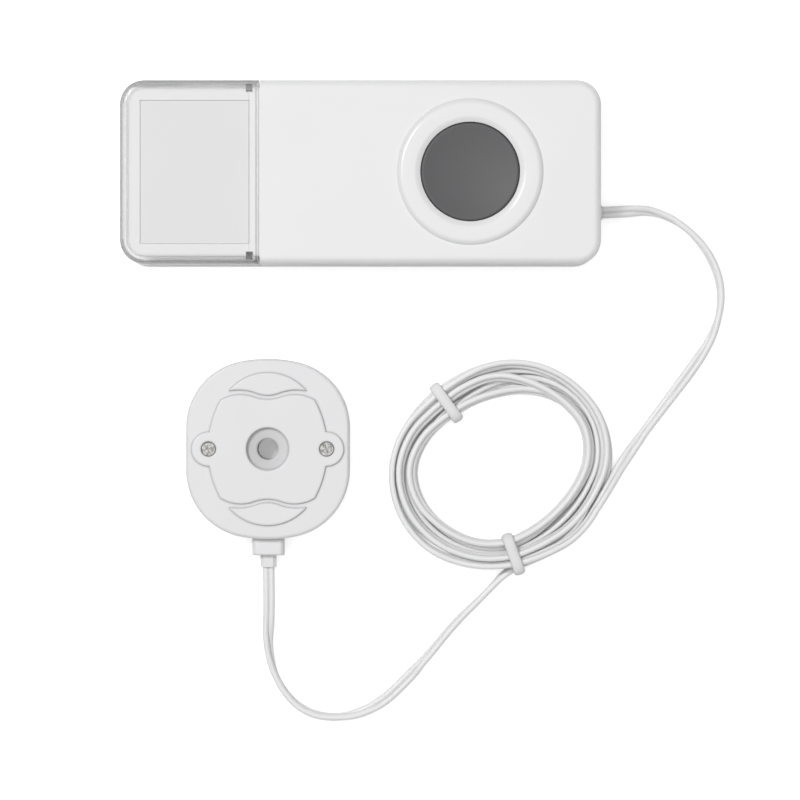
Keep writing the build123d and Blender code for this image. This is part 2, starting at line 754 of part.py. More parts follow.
def coil_tie(angle, coil_path):
    """Soft tie: a rounded band round the bundle, as long as the strands that cross it need."""
    inner, outer = coil_radius, 0.0
    for i in range(2001):
        point = coil_path @ (i / 2000)
        turn = math.radians(angle)
        along = point.X * math.cos(turn) + point.Y * math.sin(turn)
        aside = point.Y * math.cos(turn) - point.X * math.sin(turn)
        if along > 0 and abs(aside) < tie_width / 2 + 0.5:
            inner, outer = min(inner, along), max(outer, along)
    height = upper_layer_z + lead_width / 2 + tie_gap / 2 + tie_thickness
    inner_width = outer - inner + lead_thickness + 2 * tie_gap
    band = RectangleRounded(inner_width + 2 * tie_thickness, height, 1.1)
    opening = Rectangle(inner_width, height - 2 * tie_thickness)
    upright = Plane(origin=((inner + outer) / 2, 0, height / 2), x_dir=(1, 0, 0), z_dir=(0, -1, 0))
    tie = extrude(upright * (band - opening), tie_width / 2, both=True)
    print(f"tie at {angle}: round {inner_width:.1f}, centre radius {(inner + outer) / 2:.2f}")
    return Pos(coil_x, coil_y, 0) * Rot(0, 0, angle) * tie


def lead():
    """The free stretches and the coil, end to end."""
    coil, coil_path = lead_coil()
    start, end = coil_path @ 0, coil_path @ 1
    into_coil = (coil_x + start.X, coil_y + start.Y, start.Z)
    out_of_coil = (coil_x + end.X, coil_y + end.Y, end.Z)
    heading = math.radians(coil_start_angle - 90)
    before_coil = (into_coil[0] - 6 * math.cos(heading), into_coil[1] - 6 * math.sin(heading), start.Z)
    heading = math.radians(coil_end_angle - 90)
    after_coil = (out_of_coil[0] + 6 * math.cos(heading), out_of_coil[1] + 6 * math.sin(heading), end.Z)
    floor_z = lead_width / 2
    from_transmitter = [
        (grommet_end_x, exit_y, 4.5), (55.6, exit_y, 4.5), (62.8, -7.2, 1.4), (70.6, -12.4, floor_z),
        (76.0, -20.8, floor_z), (75.8, -30.5, floor_z), (70.8, -41.0, floor_z), (64.2, -50.6, floor_z),
        before_coil, into_coil,
    ]
    probe_mouth = (probe_x, probe_y + collar_end_y, lead_mouth_height)
    to_probe = [
        out_of_coil, after_coil, (25.8, -91.4, floor_z), (16.6, -100.6, floor_z),
        (9.2, -110.0, floor_z), (0.6, -114.2, floor_z), (-8.4, -113.5, floor_z),
        (-15.9, -108.1, floor_z), (-19.4, -99.6, floor_z), (probe_x, -90.5, lead_mouth_height),
        probe_mouth,
    ]
    first, first_length = free_stretch("lead_from_transmitter", from_transmitter)
    second, second_length = free_stretch("lead_to_probe", to_probe)
    print(f"lead: {first_length + coil_path.length + second_length:.1f} long in all")
    save("lead_from_transmitter", first)
    save("lead_coil", coil)
    save("lead_to_probe", second)
    save("coil_tie_upper", coil_tie(upper_tie_angle, coil_path))
    save("coil_tie_lower", coil_tie(lower_tie_angle, coil_path))


for make in (rear_case, front_cover, label_window, name_card, button_bezel, button_cap,
             circuit_board, tactile_switch, switch_plunger, battery, battery_contact_positive,
             battery_contact_negative, control_chip, radio_module, timing_crystal,
             storage_capacitor, chip_components, antenna_wire, board_screws, lead_connector,
             lead_tails, lead_grommet, probe_shell, probe_back, contact_screws, contact_lugs,
             contact_nuts, probe_wires, strain_relief):
    save(make.__name__, make())
lead()
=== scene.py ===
"""Looks of the water leak sensor: materials, the flat twin lead and the finer outer pieces.

Named sizes are millimetres unless they say metres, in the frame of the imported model: the
transmitter's back face is centred on the origin.
"""
import json
import math

import bpy
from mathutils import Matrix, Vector


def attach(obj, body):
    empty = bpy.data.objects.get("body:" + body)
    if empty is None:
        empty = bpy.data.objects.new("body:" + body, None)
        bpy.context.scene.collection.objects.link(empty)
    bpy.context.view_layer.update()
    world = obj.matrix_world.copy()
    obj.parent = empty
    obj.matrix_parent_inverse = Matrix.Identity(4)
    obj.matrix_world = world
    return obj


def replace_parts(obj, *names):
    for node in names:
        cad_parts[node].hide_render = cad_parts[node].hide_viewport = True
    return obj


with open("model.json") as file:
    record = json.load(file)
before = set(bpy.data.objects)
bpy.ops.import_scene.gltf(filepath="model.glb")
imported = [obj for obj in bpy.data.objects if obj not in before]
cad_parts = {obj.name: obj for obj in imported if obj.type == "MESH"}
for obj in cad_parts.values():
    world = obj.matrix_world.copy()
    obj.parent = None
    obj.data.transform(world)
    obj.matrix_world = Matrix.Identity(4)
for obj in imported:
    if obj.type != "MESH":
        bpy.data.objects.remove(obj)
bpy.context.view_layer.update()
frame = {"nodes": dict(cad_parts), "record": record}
MM = 0.001
IMAGE_PX = 800

# Camera, worked out from the photograph: it looks straight down, right of and below the case's middle
FOCAL_PX = 3572
CAMERA_X, CAMERA_Y, CAMERA_Z = 8.155, -47.0, 752.0
SENSOR_WIDTH = 36
CLIP_METRES = (0.01, 10)

# Lead: control points of its two free stretches, each (x, y, z). A scratch script fitted most of
# their x and y to the photograph, and they lie up to 3 mm from the source's route
LEAD_WIDTH, LEAD_THICKNESS, LEAD_WEB = 2.45, 1.3, 0.3
FROM_TRANSMITTER = [
    (50.5, -7.8, 4.5), (55.0, -7.6, 4.5), (61.0, -7.0, 1.5), (67.9, -10.1, 1.2), (73.5, -16.5, 1.2),
    (76.1, -24.5, 1.2), (74.4, -32.9, 1.2), (69.9, -39.9, 1.2), (64.8, -46.6, 1.2), (59.8, -53.2, 1.3),
    (54.9, -60.0, 2.4), (50.7, -67.2, 4.2),
]
TO_PROBE = [
    (31.0, -82.4, 1.4), (25.6, -88.2, 1.2), (19.8, -93.7, 1.2), (14.8, -99.8, 1.2), (9.5, -105.8, 1.2),
    (3.7, -111.2, 1.2), (-3.9, -114.0, 1.2), (-12.0, -112.8, 1.2), (-17.6, -106.8, 1.2),
    (-19.8, -99.1, 1.3), (-19.2, -90.8, 3.0), (-19.4, -82.0, 3.2),
]
SPLINE_RESOLUTION, SPLINE_ORDER = 8, 3
LEAD_STEP, CORE_POINTS = 0.8, 9

# Coil of the lead: clockwise, inwards on the upper layer and out again on the lower
COIL_X, COIL_Y = 29.3, -60.6
LAYER_Z = (4.3, 1.75)
COIL_START, COIL_END = -41.0, -65.0
COIL_TURNS = 6
POINTS_PER_TURN = 16
DROP_FROM, DROP_TO = 2.6, 2.82
# Small unevenness of the radius and the height: size, waves in a turn, phase
RADIUS_WOBBLE, HEIGHT_WOBBLE = (0.08, 2.71, 1), (0.12, 1.9, 0)
# Place of each turn across the bundle at every eighth of it: 0 at the outside, 1 at the hole
LANES_PER_TURN = 8
LANES = [
    (0.00, 0.04, -0.12, -0.07, 0.12, -0.05, 0.05, 0.08),
    (0.34, 0.38, 0.34, 0.25, 0.50, 0.32, 1.00, 1.00),
    (0.93, 1.00, 1.03, 0.78, 1.00, 0.93, 0.95, 0.75),
    (0.88, 0.75, 0.96, 0.95, 1.00, 0.61, 0.42, 0.47),
    (0.62, 0.56, 0.66, 0.60, 0.40, 0.27, 0.18, 0.25),
    (0.30, 0.21, 0.36, 0.13, 0.00, -0.05, -0.05, -0.05),
    (-0.03, -0.03, -0.03),
]
# Radii of the outermost and innermost turn at every 20 degrees from the +X side. They come from a
# scratch script that measured the photograph, with about a third of them changed a little
RADIUS_STEP = 20
OUTSIDE_RADII = (22.7, 23.3, 23.0, 22.7, 21.8, 20.8, 20.1, 20.6, 21.9, 22.8, 23.1, 23.6, 22.2, 21.8, 21.0,
                 20.9, 22.0, 21.7)
HOLE_RADII = (18.0, 19.6, 19.2, 17.9, 15.6, 14.3, 14.6, 15.4, 17.0, 18.5, 18.8, 18.1, 17.9, 17.0, 16.2,
              14.9, 14.7, 15.9)

# Lead turned about itself: (distance, degrees), 0 lying flat and 90 on edge
TWIST_FROM_START = [(0, 0), (6, 8), (9, 42), (14, 74), (19, 88), (28, 66), (40, 86), (46, 55), (51, 10),
                    (56, 12), (63, 42), (69, 50), (75, 10), (81, 40), (90, 62)]
TWIST_FROM_END = [(92, 66), (82, 88), (70, 72), (62, 58), (58, 12), (50, 8), (46, 45), (40, 78), (34, 70),
                  (24, 86), (17, 55), (12, 8), (0, 0)]
# Swaying of the lead in the coil: degrees, length over which it changes, phase
SWAY = ((9, 17.0, 0), (6, 7.3, 2))
SWAY_AFTER_START, SWAY_BEFORE_END, SWAY_FADE = 90, 92, 10

# Ties, each: direction from the coil's centre, tilt off it, distance from the centre, half length
UPPER_TIE, LOWER_TIE = (131.3, -5, 17.34, 4.35), (-82.1, 12, 18.83, 4.15)
TIE_HALF_THICKNESS, TIE_HALF_WIDTH = 0.45, 1.15
TIE_BOTTOM, TIE_OVER_LEAD, TIE_ROUNDNESS = 0.5, 0.5, 0.5
TIE_STEPS, TIE_SIDES = 48, 12

# Button: its rim, its dish and its hidden skirt; the rounding is (inwards, down) from the rim
BUTTON_X = 22.6
BUTTON_RADIUS, BUTTON_RIM_Z, BUTTON_DISH = 10.18, 17.3, 0.9
DISH_RADIUS, DISH_EDGE_DROP, DISH_STEPS = 9.55, 0.05, 12
BUTTON_ROUNDING = ((0, 0.45), (0.06, 0.25), (0.2, 0.1), (0.4, 0.02))
BUTTON_CENTRE, SKIRT_INNER, SKIRT_CEILING_Z, SKIRT_LOW_Z = 0.05, 9.15, 15.0, 13.0

# Ring: its crest is (outwards, down) from the top of the slope, its lip (outwards, up) from the foot
CASE_TOP = 17.0
RING_INNER, RING_OUTER, RING_TOP = 10.26, 15.1, 17.75
RING_ROUND, RING_SLOPE, RING_DROP = 1.3, 1.1, 0.35
RING_CREST = ((0.15, 0.0), (0.0, 0.02), (-0.15, 0.07))
RING_LIP = ((0.12, 0.02), (0, -0.08))
RING_ROUND_STEPS, RING_FOOT_RADIUS, RING_FOOT_Z = 10, 12.5, 14.0
LATHE_SEGMENTS = 128

# Edges sharper than these many degrees aren't smoothed
LEAD_SHARP, TIE_SHARP, LATHE_SHARP = 60, 80, 35

# Probe: its screw hole, and the painted shade in its recess from left to right
PROBE_X, PROBE_Y, PROBE_HOLE = -19.4, -57.2, 3.0
RECESS_RADIUS, RECESS_HALF, RECESS_SHADE, RECESS_SHADE_SHARE = 4.3, 4, 0.68, (1.0, 0.55)

# Plastic and metal: scale and range of their cloudiness, detail of their grain and depth of its bumps
CLOUD_SCALE, CLOUD_RANGE, GRAIN_DETAIL, GRAIN_DEPTH = 60, (0.3, 0.7), 6, 0.05
MOTTLE_RANGE, MOTTLE_DETAIL, SCRATCH_DEPTH = (0.35, 0.65), 8, 0.02
METAL_GLOSS = (0.8, 1.3)
BEVEL_SAMPLES = 8

# Window: its rounded outer edge, its walls, and the places of the painted shade lines at its end and over its
# latches, each with its half width
CORNER_X, CORNER_Y, CORNER_RADIUS = -44.6, 13.95, 5.0
WALL_START, WALL_FADE, TOP_FROM = 17.2, 0.3, 15.6
END_LINE, DIVIDER_LINE, STEP_LINE = (-21.5, 0.2), (-20.95, 0.15), (-22.95, 0.12)
LATCH_X, LATCH_Y = (-22.9, 0.7), (17.25, 0.8)
# Painted shade arc round the left corners and a painted glint along the left end: distance inside the
# outline, half width
CORNER_ARC, CORNER_GLINT = (0.6, 0.3), (1.12, 0.24)

# Window: painted shade of the moulded edge, as greys from its outside (0) to EDGE_DEPTH inside (1)
EDGE_DEPTH = 2.5
EDGE_SHADES = ((0.0, 0.74), (0.24, 0.62), (0.35, 0.04), (0.55, 0.0), (0.64, 0.62), (0.74, 0.55),
              (0.84, 0.06), (1.0, 0.0))
EDGE_FADE_Y, EDGE_FADE = (-18, -13), (0.4, 1.0)

# Window: painted shade as streaks on its walls, stronger towards +Y, and as greys of its lines and corners
STREAK_STRETCH, STREAK_SCALE = 0.04, 1500
STREAK_Y, STREAK_GAIN = (-10, 10), (0.0, 1.3)
END_STREAKS, END_LINE_SHADE, STEP_LINE_SHADE, CORNER_ARC_SHADE = 0.9, 0.55, 0.2, 0.85

# Window: colours let through by its top and sides and by what only passes it, and the painted shade of its
# walls and latches
WINDOW_TINT, WALL_SHADE, LATCH_SHADE, SIDE_TINT, PASSING_TINT = 0.90, 0.5, 0.3, 0.99, 0.985
TINT_GAMMA, LAST_BOUNCE = 2.0, 2.5
WINDOW_ROUGHNESS, WINDOW_IOR = 0.03, 1.49
RIPPLE_SCALE, RIPPLE_STRENGTH, RIPPLE_DEPTH = 120, 0.01, 0.03

# Floor: painted shade, as the glow is weaker in the probe's hole and missing in an oval band under the coil
FLOOR_METRES, FLOOR_Z = 6, -0.02
FLOOR_TONE, FLOOR_ROUGHNESS, FLOOR_GLOW, HOLE_GLOW = 0.92, 0.9, 0.5, 0.3
OVAL_TURN, OVAL_HALF_X, OVAL_HALF_Y, OVAL_BAND = 27.5, 20.9, 17.6, 0.085

# Light, in metres and watts
WORLD_STRENGTH, OVERHEAD_POWER, KEY_POWER = 0.27, 8.2, 4.0
OVERHEAD_AT, OVERHEAD_SIZE = (0.01, -0.04, 1.3), 1.3
KEY_AT, KEY_SIZE = (-0.40, 0.26, 0.95), 0.2
LIGHT_TARGET = (0.01, -0.047, 0)


def camera():
    data = bpy.data.cameras.new("camera")
    data.sensor_width = SENSOR_WIDTH
    data.lens = SENSOR_WIDTH * FOCAL_PX / IMAGE_PX
    data.clip_start, data.clip_end = CLIP_METRES
    obj = bpy.data.objects.new("camera", data)
    obj.location = (CAMERA_X * MM, CAMERA_Y * MM, CAMERA_Z * MM)
    bpy.context.scene.collection.objects.link(obj)
    bpy.context.scene.camera = obj


def link_mesh(name, verts, faces, smooth_angle):
    """A new mesh object from points in millimetres."""
    mesh = bpy.data.meshes.new(name)
    mesh.from_pydata([Vector(v) * MM for v in verts], [], faces)
    mesh.validate()
    obj = bpy.data.objects.new(name, mesh)
    bpy.context.scene.collection.objects.link(obj)
    mesh.shade_smooth()
    mesh.set_sharp_from_angle(angle=math.radians(smooth_angle))
    return obj


def smooth_step(value):
    value = min(max(value, 0.0), 1.0)
    return value * value * (3 - 2 * value)


# The coil: each strand has a lane, 0 outermost and 1 innermost

def smooth_value(values, at, closed=False):
    """Value at a place on a smooth curve through evenly spaced values."""
    count = len(values)
    step = int(at) if closed else min(int(at), count - 2)
    share = at - step
    places = [(step + i) % count if closed else min(max(step + i, 0), count - 1) for i in (-1, 0, 1, 2)]
    before, low, high, after = (values[i] for i in places)
    square = 2 * before - 5 * low + 4 * high - after
    cube = 3 * low - before - 3 * high + after
    return low + share * ((high - before) + (square * share + cube * share ** 2)) / 2


def lane_radius(lane, angle):
    """Radius of a lane between the outside and the hole of the bundle, both uneven ovals."""
    at = math.degrees(angle) % 360 / RADIUS_STEP
    outermost = smooth_value(OUTSIDE_RADII, at, closed=True)
    innermost = smooth_value(HOLE_RADII, at, closed=True)
    return outermost + (innermost - outermost) * lane


def wobble(size, rate, phase, turn):
    return size * math.sin(rate * 2 * math.pi * turn + phase)


def coil_point(turn):
    """A point of the coil after so many turns."""
    angle = math.radians(COIL_START) - 2 * math.pi * turn
    lane = smooth_value([value for row in LANES for value in row], turn * LANES_PER_TURN)
    radius = lane_radius(lane, angle) + wobble(*RADIUS_WOBBLE, turn)
    drop = smooth_step((turn - DROP_FROM) / (DROP_TO - DROP_FROM))
    z = LAYER_Z[0] + (LAYER_Z[1] - LAYER_Z[0]) * drop + wobble(*HEIGHT_WOBBLE, turn)
    return (COIL_X + radius * math.cos(angle), COIL_Y + radius * math.sin(angle), z)


def coil_points():
    total = COIL_TURNS + (COIL_START - COIL_END) / 360
    count = round(total * POINTS_PER_TURN)
    return [coil_point(total * i / count) for i in range(count + 1)]


def spline_points(points):
    """Points along one smooth spline that has the given control points."""
    curve = bpy.data.curves.new("lead_route", "CURVE")
    curve.dimensions = "3D"
    curve.resolution_u = SPLINE_RESOLUTION
    spline = curve.splines.new("NURBS")
    spline.points.add(len(points) - 1)
    for control, point in zip(spline.points, points):
        control.co = (*(Vector(point) * MM), 1)
    spline.order_u = SPLINE_ORDER
    spline.use_endpoint_u = True
    obj = bpy.data.objects.new("lead_route", curve)
    mesh = bpy.data.meshes.new_from_object(obj)
    line = [v.co / MM for v in mesh.vertices]
    bpy.data.meshes.remove(mesh)
    bpy.data.objects.remove(obj)
    bpy.data.curves.remove(curve)
    return line


def evenly(line, step):
    """The same line with points one step apart."""
    spaced, carried = [line[0]], 0.0
    for a, b in zip(line, line[1:]):
        length = (b - a).length
        while length > 0 and carried + length >= step:
            a = a + (b - a) * ((step - carried) / length)
            spaced.append(a)
            length, carried = (b - a).length, 0.0
        carried += length
    return spaced + [line[-1]]


def twin_section():
    """Outline of a flat twin lead: two round cores and the thin web between them."""
    core = LEAD_THICKNESS / 2
    offset = LEAD_WIDTH / 2 - core
    start = math.pi - math.asin(LEAD_WEB / core)
    outline = []
    for side in (1, -1):
        for i in range(CORE_POINTS):
            turn = start * (1 - 2 * i / (CORE_POINTS - 1))
            outline.append((side * (offset + core * math.cos(turn)), side * core * math.sin(turn)))
    return outline


def sweep(line, section, twist):
    """Vertices and faces of a section carried along a line, turned about it by twist(i)."""
    verts, faces = [], []
    count = len(section)
    for i, point in enumerate(line):
        ahead = line[min(i + 1, len(line) - 1)] - line[max(i - 1, 0)]
        ahead.normalize()
        aside = Vector((0, 0, 1)).cross(ahead).normalized()
        upright = ahead.cross(aside)
        turn = twist(i)
        wide = aside * math.cos(turn) + upright * math.sin(turn)
        thick = upright * math.cos(turn) - aside * math.sin(turn)
        verts += [point + wide * x + thick * y for x, y in section]
        if i:
            low = (i - 1) * count
            faces += [(low + j, low + (j + 1) % count, low + count + (j + 1) % count, low + count + j)
                      for j in range(count)]
    faces += [tuple(range(count))[::-1], tuple(range(len(verts) - count, len(verts)))]
    return verts, faces


def lead():
    """The whole lead as one piece, flat where it leaves each housing and on edge in the coil."""
    route = FROM_TRANSMITTER + coil_points() + TO_PROBE
    line = evenly(spline_points(route), LEAD_STEP)
    length = sum((b - a).length for a, b in zip(line, line[1:]))
    travelled = [length * i / (len(line) - 1) for i in range(len(line))]
    stations = TWIST_FROM_START + [(length - back, turn) for back, turn in TWIST_FROM_END]

    def twist(i):
        at = travelled[i]
        turn = stations[-1][1]
        for (low, a), (high, b) in zip(stations, stations[1:]):
            if at <= high:
                turn = a + (b - a) * smooth_step((at - low) / (high - low))
                break
        entering = smooth_step((at - SWAY_AFTER_START) / SWAY_FADE)
        leaving = smooth_step((length - SWAY_BEFORE_END - at) / SWAY_FADE)
        turn += entering * leaving * sum(size * math.sin(at / span + phase) for size, span, phase in SWAY)
        return math.radians(turn)

    verts, faces = sweep(line, twin_section(), twist)
    obj = link_mesh("twin_lead", verts, faces, LEAD_SHARP)
    obj.data.materials.append(MATERIALS["lead_jacket"])
    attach(obj, "base")
    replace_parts(obj, "lead_from_transmitter", "lead_coil", "lead_to_probe")
    return obj, line, length


def rounded(share):
    """A cosine or sine pushed outwards, so that the loop it makes is a rounded square."""
    return math.copysign(abs(share) ** TIE_ROUNDNESS, share)


def tie(name, angle, tilt, middle, half):
    """A soft coated tie bent round the bundle, seen from above as a short rounded bar."""
    top = LAYER_Z[0] + LEAD_WIDTH / 2 + TIE_OVER_LEAD
    centre_z, half_z = (top + TIE_BOTTOM) / 2, (top - TIE_BOTTOM) / 2
    radial, slant = math.radians(angle), math.radians(angle + tilt)
    along = Vector((math.cos(slant), math.sin(slant), 0))
    across = Vector((-math.sin(slant), math.cos(slant), 0))
    centre = Vector((COIL_X + middle * math.cos(radial), COIL_Y + middle * math.sin(radial), centre_z))
    verts, faces = [], []
    for i in range(TIE_STEPS):
        turn = 2 * math.pi * i / TIE_STEPS
        x, z = half * rounded(math.cos(turn)), half_z * rounded(math.sin(turn))
        outward = along * math.cos(turn) + Vector((0, 0, math.sin(turn)))
        point = centre + along * x + Vector((0, 0, z))
        for j in range(TIE_SIDES):
            a = 2 * math.pi * j / TIE_SIDES
            verts.append(point + outward * TIE_HALF_THICKNESS * math.cos(a)
                         + across * TIE_HALF_WIDTH * math.sin(a))
    for i in range(TIE_STEPS):
        a, b = i * TIE_SIDES, ((i + 1) % TIE_STEPS) * TIE_SIDES
        faces += [(a + j, a + (j + 1) % TIE_SIDES, b + (j + 1) % TIE_SIDES, b + j)
                  for j in range(TIE_SIDES)]
    obj = link_mesh(name, verts, faces, TIE_SHARP)
    obj.data.materials.append(MATERIALS["soft_white"])
    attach(obj, "base")
    return obj


# Ring and button

def lathe(name, x, y, profile):
    """A piece turned about a vertical axis from a profile of (radius, z), closed on itself."""
    verts, faces = [], []
    count = len(profile)
    for i in range(LATHE_SEGMENTS):
        turn = 2 * math.pi * i / LATHE_SEGMENTS
        verts += [(x + r * math.cos(turn), y + r * math.sin(turn), z) for r, z in profile]
    for i in range(LATHE_SEGMENTS):
        a, b = i * count, ((i + 1) % LATHE_SEGMENTS) * count
        faces += [(a + j, b + j, b + (j + 1) % count, a + (j + 1) % count) for j in range(count)]
    return link_mesh(name, verts, faces, LATHE_SHARP)


def ring():
    """The raised ring, with the rounding of its outer edge and the slope down to the button."""
    edge_turn = 2 * math.atan((RING_TOP - CASE_TOP) / RING_ROUND)
    edge_radius = RING_ROUND / math.sin(edge_turn)
    turns = [edge_turn * (1 - i / RING_ROUND_STEPS) for i in range(RING_ROUND_STEPS + 1)]
    rounding = [(RING_OUTER - RING_ROUND + edge_radius * math.sin(t),
                 RING_TOP - edge_radius * (1 - math.cos(t))) for t in turns]
    crest = RING_INNER + RING_SLOPE
    foot = RING_TOP - RING_DROP
    slope = [(crest + aside, RING_TOP - down) for aside, down in RING_CREST]
    slope += [(RING_INNER + aside, foot + up) for aside, up in RING_LIP]
    profile = [(RING_INNER, RING_FOOT_Z), (RING_FOOT_RADIUS, RING_FOOT_Z), (RING_FOOT_RADIUS, CASE_TOP),
               *rounding, *slope]
    obj = lathe("raised_ring", BUTTON_X, 0, profile)
    obj.data.materials.append(MATERIALS["white_shell"])
    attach(obj, "cover")
    return obj


def button():
    """Dished button with a softly rounded rim."""
    radii = [DISH_RADIUS * i / DISH_STEPS for i in range(DISH_STEPS, 0, -1)]
    dish = [(r, BUTTON_RIM_Z - DISH_EDGE_DROP
             - (BUTTON_DISH - DISH_EDGE_DROP) * (1 - (r / DISH_RADIUS) ** 2)) for r in radii]
    rounding = [(BUTTON_RADIUS - inwards, BUTTON_RIM_Z - down) for inwards, down in BUTTON_ROUNDING]
    profile = [(BUTTON_CENTRE, SKIRT_CEILING_Z), (SKIRT_INNER, SKIRT_CEILING_Z),
               (SKIRT_INNER, SKIRT_LOW_Z), (BUTTON_RADIUS, SKIRT_LOW_Z), *rounding, *dish,
               (BUTTON_CENTRE, BUTTON_RIM_Z - BUTTON_DISH)]
    obj = lathe("dished_button", BUTTON_X, 0, profile)
    obj.data.materials.append(MATERIALS["grey_button"])
    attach(obj, "button")
    return obj


# Shader nodes

def grey(shade):
    """An opaque neutral colour."""
    return (shade, shade, shade, 1)


def in_metres(lengths):
    return tuple(length * MM for length in lengths)


def node_material(name):
    material = bpy.data.materials.new(name)
    material.use_nodes = True
    nodes = material.node_tree.nodes
    return material, nodes, material.node_tree.links, nodes["Principled BSDF"]


def calculate(nodes, links, operation, *values):
    """A math node on one or two values, each a socket or a number."""
    node = nodes.new("ShaderNodeMath")
    node.operation = operation
    for socket, value in zip(node.inputs, values):
        if isinstance(value, (int, float)):
            socket.default_value = value
        else:
            links.new(value, socket)
    return node.outputs["Value"]


def band(nodes, links, value, centre, half):
    """1 where a length lies within a band given in millimetres, else 0."""
    return calculate(nodes, links, "COMPARE", value, centre * MM, half * MM)


def vector_math(nodes, links, operation, vector, fixed=None):
    """A vector math node on a socket and, where it takes one, a fixed vector."""
    node = nodes.new("ShaderNodeVectorMath")
    node.operation = operation
    links.new(vector, node.inputs[0])
    if fixed is not None:
        node.inputs[1].default_value = fixed
    return node.outputs["Value" if operation in ("LENGTH", "DISTANCE") else "Vector"]


def map_range(nodes, links, value, before=(0, 1), after=(0, 1)):
    """A value carried from one range to another and held at its ends."""
    node = nodes.new("ShaderNodeMapRange")
    node.inputs["From Min"].default_value, node.inputs["From Max"].default_value = before
    node.inputs["To Min"].default_value, node.inputs["To Max"].default_value = after
    links.new(value, node.inputs["Value"])
    return node.outputs["Result"]


def mix_colours(nodes, links, share, first, second, blend="MIX"):
    """A share of the second colour in the first, each a socket or a fixed colour."""
    node = nodes.new("ShaderNodeMixRGB")
    node.blend_type = blend
    links.new(share, node.inputs["Fac"])
    for name, colour in (("Color1", first), ("Color2", second)):
        if isinstance(colour, tuple):
            node.inputs[name].default_value = colour
        else:
            links.new(colour, node.inputs[name])
    return node.outputs["Color"]


def two_tones(nodes, links, value, places, darkest, colour):
    """A ramp from a darker tone of the colour to the colour itself."""
    ramp = nodes.new("ShaderNodeValToRGB")
    for element, place, share in zip(ramp.color_ramp.elements, places, (darkest, 1)):
        element.position = place
        element.color = (*[c * share for c in colour], 1)
    links.new(value, ramp.inputs["Fac"])
    return ramp.outputs["Color"]


def add_noise(nodes, links, scale, detail=4):
    """Noise that stays with the object."""
    coordinates = nodes.new("ShaderNodeTexCoord")
    noise = nodes.new("ShaderNodeTexNoise")
    noise.inputs["Scale"].default_value = scale
    noise.inputs["Detail"].default_value = detail
    links.new(coordinates.outputs["Object"], noise.inputs["Vector"])
    return noise.outputs["Fac"]


def add_bump(nodes, links, height, strength, depth):
    bump = nodes.new("ShaderNodeBump")
    bump.inputs["Strength"].default_value = strength
    bump.inputs["Distance"].default_value = depth * MM
    links.new(height, bump.inputs["Height"])
    return bump


def paint_crease_shade(nodes, links, colour, reach, depth):
    """The colour with painted shade: darker within a short reach of steps and inner corners."""
    hidden = nodes.new("ShaderNodeAmbientOcclusion")
    hidden.inputs["Distance"].default_value = reach * MM
    share = calculate(nodes, links, "SUBTRACT", 1.0, hidden.outputs["AO"])
    return mix_colours(nodes, links, share, colour, grey(1 - depth), "MULTIPLY")


# Materials

def plastic(name, colour, roughness, grain_scale, grain, spread=0.03, roughness_spread=0.05, crease_shade=None,
            rounding=None):
    """Moulded plastic: faint cloudiness in colour and gloss, and a fine grain."""
    material, nodes, links, shader = node_material(name)
    cloud = add_noise(nodes, links, CLOUD_SCALE)
    tone = two_tones(nodes, links, cloud, CLOUD_RANGE, 1 - spread, colour)
    # Painted shade near steps and inner corners, where asked
    if crease_shade:
        tone = paint_crease_shade(nodes, links, tone, *crease_shade)
    links.new(tone, shader.inputs["Base Color"])
    gloss = (roughness - roughness_spread, roughness + roughness_spread)
    links.new(map_range(nodes, links, cloud, after=gloss), shader.inputs["Roughness"])
    fine = add_noise(nodes, links, grain_scale, GRAIN_DETAIL)
    bump = add_bump(nodes, links, fine, grain, GRAIN_DEPTH)
    if rounding:
        soft = nodes.new("ShaderNodeBevel")
        soft.samples = BEVEL_SAMPLES
        soft.inputs["Radius"].default_value = rounding * MM
        links.new(soft.outputs["Normal"], bump.inputs["Normal"])
    links.new(bump.outputs["Normal"], shader.inputs["Normal"])
    return material


def probe_plastic(name):
    """White plastic with painted shade near its steps and in its screw recess, the recess's painted shade
    deepest on its left side.
    """
    material = plastic(name, (0.79, 0.79, 0.80), 0.40, 3500, 0.15, crease_shade=(0.7, 0.4), rounding=0.7)
    nodes, links = material.node_tree.nodes, material.node_tree.links
    shader = nodes["Principled BSDF"]
    tone = shader.inputs["Base Color"].links[0].from_socket
    place = nodes.new("ShaderNodeTexCoord").outputs["Object"]
    local = vector_math(nodes, links, "SUBTRACT", place, (PROBE_X * MM, PROBE_Y * MM, 0))
    level = vector_math(nodes, links, "MULTIPLY", local, (1, 1, 0))
    reach = vector_math(nodes, links, "LENGTH", level)
    split = nodes.new("ShaderNodeSeparateXYZ")
    links.new(local, split.inputs["Vector"])
    # Painted shade in the screw recess, stronger on its left side
    within = calculate(nodes, links, "LESS_THAN", reach, RECESS_RADIUS * MM)
    side = map_range(nodes, links, split.outputs["X"], in_metres((-RECESS_HALF, RECESS_HALF)), RECESS_SHADE_SHARE)
    share = calculate(nodes, links, "MULTIPLY", within, side)
    darker = mix_colours(nodes, links, share, tone, grey(RECESS_SHADE), "MULTIPLY")
    links.new(darker, shader.inputs["Base Color"])
    return material


def metal(name, colour, roughness, scratch=0.15, grain=900, darkest=0.8):
    """Metal with a fine mottling of its colour and gloss."""
    material, nodes, links, shader = node_material(name)
    shader.inputs["Metallic"].default_value = 1
    noise = add_noise(nodes, links, grain, MOTTLE_DETAIL)
    links.new(two_tones(nodes, links, noise, MOTTLE_RANGE, darkest, colour), shader.inputs["Base Color"])
    gloss = tuple(roughness * share for share in METAL_GLOSS)
    links.new(map_range(nodes, links, noise, after=gloss), shader.inputs["Roughness"])
    bump = add_bump(nodes, links, noise, scratch, SCRATCH_DEPTH)
    links.new(bump.outputs["Normal"], shader.inputs["Normal"])
    return material


